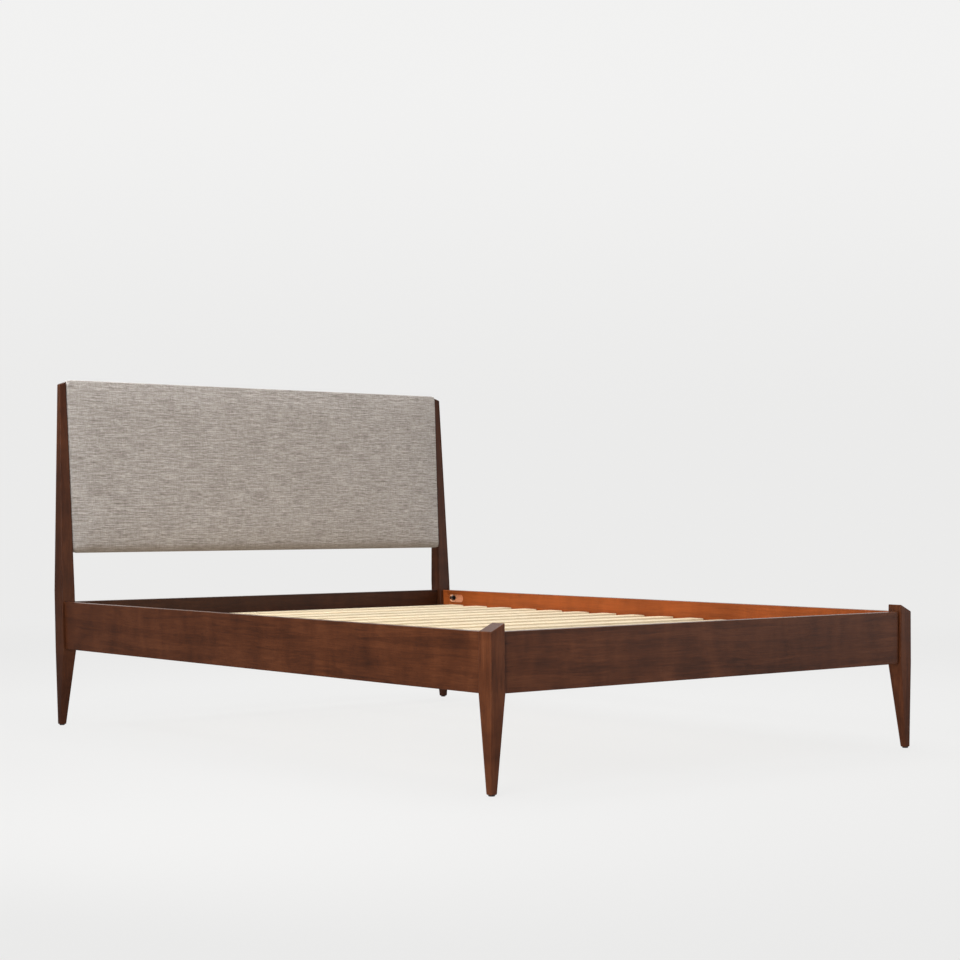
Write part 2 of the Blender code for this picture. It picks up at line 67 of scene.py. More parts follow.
# ---------------------------------------------------------------------------------------------
# Studio. The bed stands on a round, matte, pale floor inside a tall pale ring, which carries the
# same tone up behind it. Three large soft boxes, a small rim lamp and a dim room light it.
# ---------------------------------------------------------------------------------------------
FLOOR_RADIUS = 8.0
RING_HEIGHT = 7.0
PAPER_NEAR = 0.885
PAPER_FAR = 0.832
PAPER_HIGH = 0.885
PAPER_TINT = (1.0, 0.998, 0.992)
FLOOR_BOUNCE = 0.09
FLOOR_LIGHT = 1.30
FLOOR_FADE = (3.2, 7.4)
RING_FADE = (1.2, 4.2)
RING_BEND = 1.5
BEND_STEPS = 12
STUDIO_SIDES = 96
ROOM_DIM = (0.13, 0.13, 0.135)
ROOM_BRIGHT = (0.90, 0.89, 0.88)
ROOM_BRIGHT_WAY = (0.62, 0.78, 0.0)


class Signal:
    """A shader socket that takes part in arithmetic: each sum adds the node that works it out."""

    def __init__(self, finish, socket):
        self.finish = finish
        self.socket = socket
        self.is_vector = socket.type in ("VECTOR", "RGBA")

    def combined(self, operation, first, second):
        vectors = any(isinstance(x, tuple) or getattr(x, "is_vector", False) for x in (first, second))
        kind = "ShaderNodeVectorMath" if vectors else "ShaderNodeMath"
        if vectors:
            first, second = ((x,) * 3 if isinstance(x, (int, float)) else x for x in (first, second))
        return self.finish.node(kind, {"operation": operation}, [first, second])

    def __add__(self, other):
        return self.combined("ADD", self, other)

    def __radd__(self, other):
        return self.combined("ADD", other, self)

    def __sub__(self, other):
        return self.combined("SUBTRACT", self, other)

    def __rsub__(self, other):
        return self.combined("SUBTRACT", other, self)

    def __mul__(self, other):
        return self.combined("MULTIPLY", self, other)

    def __rmul__(self, other):
        return self.combined("MULTIPLY", other, self)

    def __truediv__(self, other):
        return self.combined("DIVIDE", self, other)

    def __gt__(self, other):
        return self.combined("GREATER_THAN", self, other)

    def __lt__(self, other):
        return self.combined("LESS_THAN", self, other)

    def __abs__(self):
        return self.finish.node("ShaderNodeMath", {"operation": "ABSOLUTE"}, [self])


class Finish:
    """A node tree under construction: one method adds any node, and the others name common ones."""

    def __init__(self, tree):
        self.tree = tree
        tree.nodes.clear()

    def node(self, kind, settings=(), values=(), output=0):
        made = self.tree.nodes.new(kind)
        for name, setting in dict(settings).items():
            if name == "stops":
                ramp = made.color_ramp
                while len(ramp.elements) < len(setting):
                    ramp.elements.new(0.5)
                for element, (place, colour) in zip(ramp.elements, setting):
                    element.position = place
                    element.color = (*colour, 1.0)
            else:
                setattr(made, name, setting)
        pairs = values.items() if isinstance(values, dict) else enumerate(values)
        for key, value in pairs:
            socket = made.inputs[key]
            if isinstance(value, Signal):
                self.tree.links.new(value.socket, socket)
            elif socket.type == "RGBA" and len(value) == 3:
                socket.default_value = (*value, 1.0)
            else:
                socket.default_value = value
        return Signal(self, made.outputs[output])

    def place(self):
        """Where a point lies in the bed, in metres."""
        return self.node("ShaderNodeTexCoord", output="Object")

    def parts(self, vector):
        split = self.node("ShaderNodeSeparateXYZ", {}, [vector])
        outputs = split.socket.node.outputs
        return [Signal(self, socket) for socket in outputs]

    def noise(self, vector, scale, detail=2.0, roughness=0.5, distortion=0.0):
        values = {"Vector": vector, "Scale": scale, "Detail": detail, "Roughness": roughness}
        return self.node("ShaderNodeTexNoise", {}, {**values, "Distortion": distortion})

    def ease(self, value, start, end, low=0.0, high=1.0):
        """A smooth rise from low to high while value goes from start to end."""
        values = {"Value": value, "From Min": start, "From Max": end, "To Min": low, "To Max": high}
        return self.node("ShaderNodeMapRange", {"interpolation_type": "SMOOTHSTEP"}, values)

    def mixed(self, factor, first, second, blend="MIX"):
        """Two colours mixed by a factor."""
        settings = {"data_type": "RGBA", "blend_type": blend}
        return self.node("ShaderNodeMix", settings, {0: factor, 6: first, 7: second}, output=2)

    def toned(self, value, stops):
        return self.node("ShaderNodeValToRGB", {"stops": stops}, [value])

    def bumps(self, height, distance, strength):
        values = {"Height": height, "Distance": distance, "Strength": strength}
        return self.node("ShaderNodeBump", {}, values)

    def surface(self, shader, kind="ShaderNodeOutputMaterial"):
        end = self.tree.nodes.new(kind)
        self.tree.links.new(shader.socket, end.inputs["Surface"])


def scaled(colour, factor, lift=0.0):
    return tuple(min(1.0, c * factor + lift) for c in colour)


def new_finish(name):
    material = bpy.data.materials.new(name)
    material.use_nodes = True
    return material, Finish(material.node_tree)


def new_piece(name, builder, material):
    """An object from a bmesh, in the bed's own coordinates."""
    mesh = bpy.data.meshes.new(name)
    builder.to_mesh(mesh)
    builder.free()
    mesh.materials.append(material)
    piece = bpy.data.objects.new(name, mesh)
    bpy.context.scene.collection.objects.link(piece)
    return piece


def disc_rings(radii_heights, sides):
    """A surface turned about the bed's upright axis, open in the middle unless a radius is zero."""
    builder = bmesh.new()
    rings = []
    for radius, height in radii_heights:
        ring = []
        for i in range(sides):
            angle = 2 * math.pi * i / sides
            ring.append(builder.verts.new((radius * math.cos(angle), radius * math.sin(angle), height)))
        rings.append(ring)
    for inner, outer in zip(rings, rings[1:]):
        for i in range(sides):
            j = (i + 1) % sides
            builder.faces.new((inner[i], outer[i], outer[j], inner[j]))
    return builder, rings


floor_paper, studio = new_finish("floor_paper")
radius = studio.node("ShaderNodeVectorMath", {"operation": "LENGTH"}, [studio.place()], output="Value")
rim = studio.ease(radius, *FLOOR_FADE)
near_tone = scaled(PAPER_TINT, PAPER_NEAR - FLOOR_LIGHT * FLOOR_BOUNCE)
glow = studio.node("ShaderNodeEmission", {}, {"Color": near_tone, "Strength": 1.0})
matte = studio.node("ShaderNodeBsdfDiffuse", {}, {"Color": scaled(PAPER_TINT, FLOOR_BOUNCE)})
near = studio.node("ShaderNodeAddShader", {}, [matte, glow])
far_tone = scaled(PAPER_TINT, PAPER_FAR)
far = studio.node("ShaderNodeEmission", {}, {"Color": far_tone, "Strength": 1.0})
studio.surface(studio.node("ShaderNodeMixShader", {}, {0: rim, 1: near, 2: far}))

builder, rings = disc_rings([(0.5, 0), (2, 0), (4, 0), (6, 0), (FLOOR_RADIUS, 0)], STUDIO_SIDES)
builder.faces.new(rings[0])
floor = new_piece("studio_floor", builder, floor_paper)

ring_paper, studio = new_finish("ring_paper")
height = studio.parts(studio.place())[2]
ring_tone = studio.mixed(studio.ease(height, *RING_FADE), far_tone, scaled(PAPER_TINT, PAPER_HIGH))
studio.surface(studio.node("ShaderNodeEmission", {}, {"Color": ring_tone, "Strength": 1.0}))
bend = [
    (FLOOR_RADIUS + RING_BEND * math.sin(a), RING_BEND - RING_BEND * math.cos(a))
    for a in (math.pi / 2 * i / BEND_STEPS for i in range(BEND_STEPS + 1))
]
builder, _ = disc_rings([*bend, (FLOOR_RADIUS + RING_BEND, RING_HEIGHT)], STUDIO_SIDES)
ring = new_piece("studio_ring", builder, ring_paper)
ring.visible_diffuse = False
ring.visible_glossy = False
ring.visible_shadow = False
floor.visible_glossy = False
for part in (floor, ring):
    part.data.shade_smooth()

CAMERA_PLACE = (-4.0576, -4.9525, 0.703)
CAMERA_TURN = -39.904
CAMERA_TILT = 0.8465
CAMERA_LENS = 76.733
camera_data = bpy.data.cameras.new("camera")
camera_data.lens = CAMERA_LENS
camera_data.sensor_width = 36.0
camera_data.clip_end = 100.0
camera = bpy.data.objects.new("camera", camera_data)
camera.location = CAMERA_PLACE
camera.rotation_euler = (math.radians(90 + CAMERA_TILT), 0.0, math.radians(CAMERA_TURN))
bpy.context.scene.collection.objects.link(camera)
bpy.context.scene.camera = camera


def soft_box(name, place, target, size, power, tint, spread=180):
    """A large flat lamp that faces a point."""
    data = bpy.data.lights.new(name, "AREA")
    data.shape = "RECTANGLE"
    data.size, data.size_y = size
    data.energy = power
    data.color = tint
    data.spread = math.radians(spread)
    lamp = bpy.data.objects.new(name, data)
    lamp.location = place
    lamp.rotation_euler = (Vector(target) - Vector(place)).to_track_quat("-Z", "Y").to_euler()
    lamp.visible_camera = False
    bpy.context.scene.collection.objects.link(lamp)
    return lamp


soft_box("key_from_left", (-2.7, -1.7, 1.3), (-0.8, -0.6, 0.8), (1.6, 1.3), 24, (1.0, 0.985, 0.96), 110)
soft_box("rim_on_headboard", (-1.9, 1.25, 2.3), (-0.3, 1.05, 1.0), (1.0, 0.5), 7, (0.96, 0.99, 1.0), 70)
soft_box("fill_from_right", (4.2, -4.8, 1.3), (0, -0.6, 0.4), (3.2, 2.4), 34, (0.98, 0.99, 1.0))
soft_box("overhead", (0.3, 0.2, 4.6), (0, 0, 0), (5.0, 5.0), 225, (1.0, 0.995, 0.985))

world = bpy.data.worlds.new("room")
world.use_nodes = True
bpy.context.scene.world = world
room = Finish(world.node_tree)
toward = room.node("ShaderNodeTexCoord", output="Generated")
behind = room.node(
    "ShaderNodeVectorMath", {"operation": "DOT_PRODUCT"}, [toward, ROOM_BRIGHT_WAY], output="Value"
)
above = room.ease(room.parts(toward)[2], -0.25, 0.05)
room_tone = room.mixed(room.ease(behind, 0.45, 0.95) * above, ROOM_DIM, ROOM_BRIGHT)
backdrop = room.node("ShaderNodeBackground", {}, {"Color": room_tone, "Strength": 1.0})
room.surface(backdrop, "ShaderNodeOutputWorld")
bpy.context.scene.view_settings.view_transform = "Standard"

# ---------------------------------------------------------------------------------------------
# Legs, posts and rails. Close-grained hardwood with a dark walnut stain under a satin lacquer. The
# legs and posts are tapered on a saw, the cross rails are tenoned in, and the side rails bolt on.
# ---------------------------------------------------------------------------------------------
STAIN_DARK = (0.040, 0.0125, 0.0055)
STAIN_MID = (0.098, 0.0285, 0.0100)
STAIN_LIGHT = (0.165, 0.052, 0.0190)
INSIDE_STAIN_AND_BOUNCE = (0.390, 0.088, 0.0170)
RAW_POCKET = (0.92, 0.44, 0.24)
GRAIN_STRETCH = 0.045
SATIN = 0.36


def round_edges(piece):
    """Shades the small facets along each edge as one round edge, and leaves the flats flat."""
    tree = bpy.data.node_groups.get("one_smooth_skin")
    if not tree:
        tree = bpy.data.node_groups.new("one_smooth_skin", "GeometryNodeTree")
        for way in ("INPUT", "OUTPUT"):
            tree.interface.new_socket("Geometry", in_out=way, socket_type="NodeSocketGeometry")
        start = tree.nodes.new("NodeGroupInput")
        merge = tree.nodes.new("GeometryNodeMergeByDistance")
        merge.inputs["Distance"].default_value = 0.00001
        smooth = tree.nodes.new("GeometryNodeSetShadeSmooth")
        end = tree.nodes.new("NodeGroupOutput")
        tree.links.new(start.outputs[0], merge.inputs["Geometry"])
        tree.links.new(merge.outputs[0], smooth.inputs["Geometry"])
        tree.links.new(smooth.outputs[0], end.inputs[0])
    skin = piece.modifiers.new("one_smooth_skin", "NODES")
    skin.node_group = tree
    even = piece.modifiers.new("flats_first", "WEIGHTED_NORMAL")
    even.mode = "FACE_AREA"
    even.weight = 80
    even.keep_sharp = False


def per_axis(along, on, off=1.0):
    """One factor for the axis that the grain runs along, and another for the other two."""
    return tuple(on if axis == along else off for axis in range(3))


def stained_wood(name, along, shift, depth):
    """Stained wood whose grain runs along one axis, 0 for X, 1 for Y or 2 for Z."""
    material, wood = new_finish(name)
    here = wood.place()
    x, y, z = wood.parts(here)
    stretch = per_axis(along, GRAIN_STRETCH)
    sway = (wood.noise(here + (shift, 0.3 * shift, 0.0), 2.3, 1.0) - 0.5) * 0.035
    grain = (here + sway) * stretch + (shift, 1.7 * shift, 2.9 * shift)
    figure = wood.noise(grain, 34.0, 3.0, 0.55, 0.6)
    rings = wood.node(
        "ShaderNodeMath", {"operation": "SINE"}, [figure * 30.0 + wood.noise(grain, 9.0, 2.0) * 26.0]
    )
    streaks = wood.noise(grain, 330.0, 3.0, 0.62)
    pores = wood.ease(wood.noise(grain, 980.0, 2.0, 0.5), 0.60, 0.74)
    mottle = wood.noise(here * per_axis(along, 1.0, 0.55) + (shift, 0.0, shift), 11.0, 3.0, 0.6, 0.4)
    flecks = wood.ease(wood.noise(grain * 0.8, 120.0, 1.0), 0.70, 0.86) * wood.ease(mottle, 0.5, 0.7)
    tone = 0.5 + rings * 0.05 + (streaks - 0.5) * 0.60 + (mottle - 0.5) * 0.75 + (figure - 0.5) * 0.6
    stain = wood.toned(tone, [(0.12, STAIN_DARK), (0.5, STAIN_MID), (0.88, STAIN_LIGHT)])
    stain = wood.mixed(flecks * 0.35, stain, STAIN_LIGHT)
    stain = wood.mixed(pores * 0.55, stain, scaled(STAIN_DARK, 0.45))
    raw = None
    if along == 1:
        rail_low, rail_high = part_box("side_rail_right")
        reach = abs(x)
        # The rails' inner faces take a paler, oranger brown: part a lighter finish inside, part painted
        # bounce light from the slats.
        inside = wood.ease(reach, rail_low.x + 0.0022, rail_low.x + 0.0008)
        pale = wood.toned(tone, [(0.1, scaled(INSIDE_STAIN_AND_BOUNCE, 0.55)), (0.9, scaled(INSIDE_STAIN_AND_BOUNCE, 1.25))])
        stain = wood.mixed(inside * 0.85, stain, pale)
        raw = (reach > rail_low.x + 0.0004) * (reach < rail_high.x - 0.0006)
        raw = raw * (z > rail_low.z + 0.012) * (z < rail_high.z - 0.010)
        raw = raw * (y > rail_low.y + 0.030) * (y < rail_high.y - 0.040)
        bare = wood.toned(streaks, [(0.3, scaled(RAW_POCKET, 0.8)), (0.75, RAW_POCKET)])
        stain = wood.mixed(raw, stain, bare)
    facing = wood.parts(wood.node("ShaderNodeNewGeometry", output="Normal"))[along]
    end_grain = wood.ease(abs(facing), 0.72, 0.90)
    dots = wood.noise(here * per_axis(along, 0.4), 900.0, 1.0)
    ends = wood.toned(dots, [(0.35, scaled(STAIN_DARK, 0.7)), (0.7, STAIN_MID)])
    # The depth factor darkens the whole piece: part deeper stain, part painted shade.
    stain = wood.mixed(end_grain * 0.6, stain, ends) * depth
    smears = wood.noise(here + (0.0, shift, 0.0), 7.0, 3.0, 0.6)
    rough = SATIN + (smears - 0.5) * 0.16 + (streaks - 0.5) * 0.10 + pores * 0.12
    coat = 0.10 + (smears - 0.5) * 0.08
    if raw:
        rough = rough + raw * 0.4
        coat = coat * (1 - raw)
    relief = streaks * 0.55 - pores * 0.9 + rings * 0.08
    values = {
        "Base Color": stain,
        "Roughness": rough,
        "Coat Weight": coat,
        "Coat Roughness": 0.30,
        "Specular IOR Level": 0.20,
        "Normal": wood.bumps(relief, 0.00022, 0.55),
    }
    wood.surface(wood.node("ShaderNodeBsdfPrincipled", {}, values))
    return material


UPRIGHTS = ("foot_leg_left", "foot_leg_right", "head_post_left", "head_post_right")
SIDE_RAILS = ("side_rail_left", "side_rail_right")
CROSS_RAILS = ("foot_rail", "head_rail")
# Each listed piece's colour is multiplied down: part a deeper stain, part painted shade for the weaker
# light on the head posts, the foot-facing head rail and the near side rail.
STAIN_AND_SHADE_DEPTHS = {
    "head_post_left": 0.62,
    "head_post_right": 0.52,
    "head_rail": 0.40,
    "side_rail_left": 0.90,
}
for members, along in ((UPRIGHTS, 2), (SIDE_RAILS, 1), (CROSS_RAILS, 0)):
    for number, name in enumerate(members):
        shift = 1.37 * number + 0.61 * along
        stain = stained_wood(f"stain_{name}", along, shift, STAIN_AND_SHADE_DEPTHS.get(name, 1.0))
        nodes[name].material_slots[0].material = stain
        round_edges(nodes[name])

# ---------------------------------------------------------------------------------------------
# Bed bolts and half-moon washers. Black-oxide cap bolts with a hexagon socket draw the side rails
# up to the legs, and each bears on a zinc-plated half-moon washer in a milled pocket.
# ---------------------------------------------------------------------------------------------
BLACK_OXIDE = (0.026, 0.025, 0.025)
ZINC = (0.56, 0.565, 0.56)


def plated_steel(name, colour, roughness, metal):
    """Plated steel with a faint mottle and fine handling scratches."""
    material, steel = new_finish(name)
    here = steel.place()
    clouds = steel.noise(here, 140.0, 4.0, 0.6)
    scratches = steel.ease(steel.noise(here * (1.0, 0.06, 1.0), 1600.0, 2.0), 0.60, 0.72)
    tint = steel.mixed(clouds, scaled(colour, 0.78), scaled(colour, 1.18))
    tint = steel.mixed(scratches * 0.35, tint, scaled(colour, 1.9, 0.03))
    values = {
        "Base Color": tint,
        "Metallic": metal,
        "Roughness": roughness + (clouds - 0.5) * 0.22 - scratches * 0.08,
        "Normal": steel.bumps(clouds + scratches * 0.5, 0.00004, 0.5),
    }
    steel.surface(steel.node("ShaderNodeBsdfPrincipled", {}, values))
    return material


def dress(starts, material):
    """Gives a material to each node whose name starts in one of these ways, and rounds its edges."""
    for name, node in nodes.items():
        if name.startswith(starts):
            node.material_slots[0].material = material
            round_edges(node)


black_steel = plated_steel("black_oxide_steel", BLACK_OXIDE, 0.42, 0.85)
zinc_steel = plated_steel("zinc_plated_steel", ZINC, 0.34, 1.0)
dress("bed_bolt", black_steel)
dress("half_moon_washer", zinc_steel)

# ---------------------------------------------------------------------------------------------
# Slats, cleats and centre beam. Planed softwood with no finish. The slats lie loose across two
# cleats, which are screwed and glued to the side rails, and over the beam in the middle.
# ---------------------------------------------------------------------------------------------
SAPWOOD = (0.800, 0.680, 0.480)
LATEWOOD = (0.640, 0.480, 0.285)
KNOT = (0.300, 0.165, 0.085)
BLUSH = (0.800, 0.600, 0.380)
slat_low, slat_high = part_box("slat_01")
next_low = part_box("slat_02")[0]
SLAT_PITCH = next_low.y - slat_low.y
SLAT_START = (slat_low.y + slat_high.y) / 2 - SLAT_PITCH / 2


def softwood(name, along, pieces_across):
    """Planed softwood: broad growth lines, fine fibres and a few small knots."""
    material, wood = new_finish(name)
    here = wood.place()
    x, y, _ = wood.parts(here)
    if pieces_across:
        index = wood.node("ShaderNodeMath", {"operation": "FLOOR"}, [(y - SLAT_START) / SLAT_PITCH])
    else:
        index = wood.node("ShaderNodeMath", {"operation": "SIGN"}, [x])
    board = wood.node("ShaderNodeTexWhiteNoise", {"noise_dimensions": "1D"}, {"W": index}, output="Value")
    offset = wood.node("ShaderNodeCombineXYZ", {}, [board * 7.0, board * 3.0, board * 5.0])
    moved = here + offset
    sway = (wood.noise(moved, 3.0, 1.0) - 0.5) * 0.03
    grain = (moved + sway) * per_axis(along, 0.05)
    broad = wood.noise(grain, 22.0, 2.0, 0.5, 0.4)
    lines = wood.node("ShaderNodeMath", {"operation": "SINE"}, [broad * 75.0])
    late = wood.ease(lines, 0.25, 0.95)
    fibres = wood.noise(grain, 520.0, 3.0, 0.6)
    knot_cells = wood.node(
        "ShaderNodeTexVoronoi",
        {"feature": "F1"},
        {"Vector": moved * per_axis(along, 0.45), "Scale": 4.2},
        output="Distance",
    )
    knots = wood.ease(knot_cells, 0.055, 0.028)
    halo = wood.ease(knot_cells, 0.16, 0.04)
    tone = wood.mixed(late * 0.42 + halo * 0.25, SAPWOOD, LATEWOOD)
    tone = wood.mixed(wood.ease(fibres, 0.30, 0.75) * 0.22, tone, scaled(LATEWOOD, 0.80))
    tone = wood.mixed(board * 0.30, tone, BLUSH)
    shade = 0.86 + board * 0.20
    tone = wood.mixed(1.0, tone, wood.node("ShaderNodeCombineColor", {}, [shade, shade, shade]), "MULTIPLY")
    tone = wood.mixed(knots * 0.8, tone, KNOT)
    facing = wood.parts(wood.node("ShaderNodeNewGeometry", output="Normal"))[along]
    ends = wood.ease(abs(facing), 0.7, 0.95)
    tone = wood.mixed(ends * 0.45, tone, LATEWOOD)
    values = {
        "Base Color": tone,
        "Roughness": 0.60 + (fibres - 0.5) * 0.25 - late * 0.08,
        "Specular IOR Level": 0.30,
        "Normal": wood.bumps(fibres * 0.6 + late * 0.5 + ends * fibres, 0.0003, 0.5),
    }
    wood.surface(wood.node("ShaderNodeBsdfPrincipled", {}, values))
    return material


dress(("slat_0", "slat_1"), softwood("planed_softwood_across", 0, True))
dress(("slat_cleat", "centre_beam"), softwood("planed_softwood_along", 1, False))

SCREW_HEAD = 0.0042
SCREW_SIDES = 20
CLEAT_SCREWS = 9
CLEAT_SCREW_END = 0.080
SCREW_DOME = ((1.0, 0.0), (0.97, 0.55), (0.82, 0.9), (0.62, 1.0))  # radius and rise, as shares
CROSS_ARM = 0.52
CROSS_WIDTH = 0.15


def screw_head(builder, place, outward, lift, turn):
    """A low round screw head with a cross recess, facing outward."""
    outward = Vector(outward)
    turning = outward.to_track_quat("Z", "Y").to_matrix().to_4x4() @ Matrix.Rotation(turn, 4, "Z")
    seat = Matrix.Translation(place) @ turning
    rings = []
    for radius, rise in SCREW_DOME:
        ring = []
        for i in range(SCREW_SIDES):
            angle = 2 * math.pi * i / SCREW_SIDES
            reach = SCREW_HEAD * radius
            spot = Vector((reach * math.cos(angle), reach * math.sin(angle), lift * rise))
            ring.append(builder.verts.new(seat @ spot))
        rings.append(ring)
    for depth, size in ((1.0, 1.0), (0.15, 0.8)):
        ring = []
        for i in range(SCREW_SIDES):
            angle = 2 * math.pi * i / SCREW_SIDES
            quarter = (angle + math.pi / 4) % (math.pi / 2) - math.pi / 4
            length = min(CROSS_ARM, CROSS_WIDTH / max(abs(math.sin(quarter)), 1e-3))
            spot = Vector((math.cos(angle), math.sin(angle), 0)) * SCREW_HEAD * length * size
            spot.z = lift * depth
            ring.append(builder.verts.new(seat @ spot))
        rings.append(ring)
    for lower, upper in zip(rings, rings[1:]):
        for i in range(SCREW_SIDES):
            j = (i + 1) % SCREW_SIDES
            builder.faces.new((lower[i], lower[j], upper[j], upper[i]))
    builder.faces.new(list(reversed(rings[0])))
    builder.faces.new(rings[-1])


for side_name, side in (("left", -1), ("right", 1)):
    low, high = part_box(f"slat_cleat_{side_name}")
    inner = high.x if side < 0 else low.x
    screws = bmesh.new()
    for i in range(CLEAT_SCREWS):
        share = i / (CLEAT_SCREWS - 1)
        along = low.y + CLEAT_SCREW_END + share * (high.y - low.y - 2 * CLEAT_SCREW_END)
        middle = (low.z + high.z) / 2
        screw_head(screws, (inner - side * 0.0001, along, middle), (-side, 0, 0), 0.0009, 0.9 * i)
    piece = new_piece(f"cleat_screws_{side_name}", screws, zinc_steel)
    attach(piece, "root")

# ---------------------------------------------------------------------------------------------
# Beam hangers. Folded zinc-plated shoes that hold the centre beam's ends, each fixed to its rail
# with four screws through its flanges.
# ---------------------------------------------------------------------------------------------
FLANGE = 0.0021
FLANGE_SCREW_INSET = 0.011

for end_name, inward in (("foot", 1), ("head", -1)):
    hanger = nodes[f"beam_hanger_{end_name}"]
    hanger.material_slots[0].material = zinc_steel
    low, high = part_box(f"beam_hanger_{end_name}")
    flange_face = (low.y if inward > 0 else high.y) + inward * FLANGE
    screws = bmesh.new()
    for side in (-1, 1):
        for number, share in enumerate((0.25, 0.75)):
            across = side * (high.x - FLANGE_SCREW_INSET)
            up = low.z + share * (high.z - low.z)
            screw_head(screws, (across, flange_face, up), (0, inward, 0), 0.0018, 0.7 * number + side)
    piece = new_piece(f"hanger_screws_{end_name}", screws, zinc_steel)
    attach(piece, "root")

# ---------------------------------------------------------------------------------------------
# Headboard upholstery. A heathered slub weave over a thin sheet of foam, pulled round the edges of
# the plywood core and stapled to its back. Four dowels pass through its ends into the posts.
# ---------------------------------------------------------------------------------------------
LEAN = math.atan(0.065)
UP_SLOPE = Vector((0.0, math.sin(LEAN), math.cos(LEAN)))
BACKWARD = Vector((0.0, math.cos(LEAN), -math.sin(LEAN)))
EDGE_ROLL = 0.0135
FRONT_START = 0.0115
CROWN_LIMIT = 0.0042
CLOTH = 0.0012
LAP = 0.034
CORNER = 0.009
CELL = 0.009
LOWER_EDGE_SHADE = (0.170, 0.128, 0.084)
CROWN_DROP = 0.0050
CROWN_REACH = 0.042
ROLL_STEPS = 8
YARN = 0.00165
FILL_PRESSURE = 3.2
FILL_FRAMES = 14

pad_points = [vert.co for vert in nodes["headboard_pad"].data.vertices]
core_points = [vert.co for vert in nodes["headboard_core"].data.vertices]
PAD_BACK = max(p.dot(BACKWARD) for p in pad_points)
PAD_LOW = min(p.dot(UP_SLOPE) for p in pad_points)
PAD_HIGH = max(p.dot(UP_SLOPE) for p in pad_points)
CORE_BACK = max(p.dot(BACKWARD) for p in core_points) - PAD_BACK
PAD_HEIGHT = PAD_HIGH - PAD_LOW
PAD_HALF_LOW = max(p.x for p in pad_points if p.dot(UP_SLOPE) < PAD_LOW + 0.03)
PAD_HALF_HIGH = max(p.x for p in pad_points)


def on_panel(across, up, back):
    """A point of the headboard, from its place across as a share, up the slope and back from the pad."""
    half = PAD_HALF_LOW + (PAD_HALF_HIGH - PAD_HALF_LOW) * up / PAD_HEIGHT
    point = UP_SLOPE * (PAD_LOW + up) + BACKWARD * (PAD_BACK + back)
    return Vector((across * half / PAD_HALF_HIGH, point.y, point.z))


def graded(low, high, cell):
    """Grid lines from low to high, closer together near both ends."""
    ends = [0.0, 0.003, 0.0065, 0.0105, 0.016, 0.023]
    count = round((high - low - 2 * ends[-1]) / cell)
    middle = [low + ends[-1] + (high - low - 2 * ends[-1]) * i / count for i in range(count + 1)]
    return [low + e for e in ends[:-1]] + middle + [high - e for e in reversed(ends[:-1])]


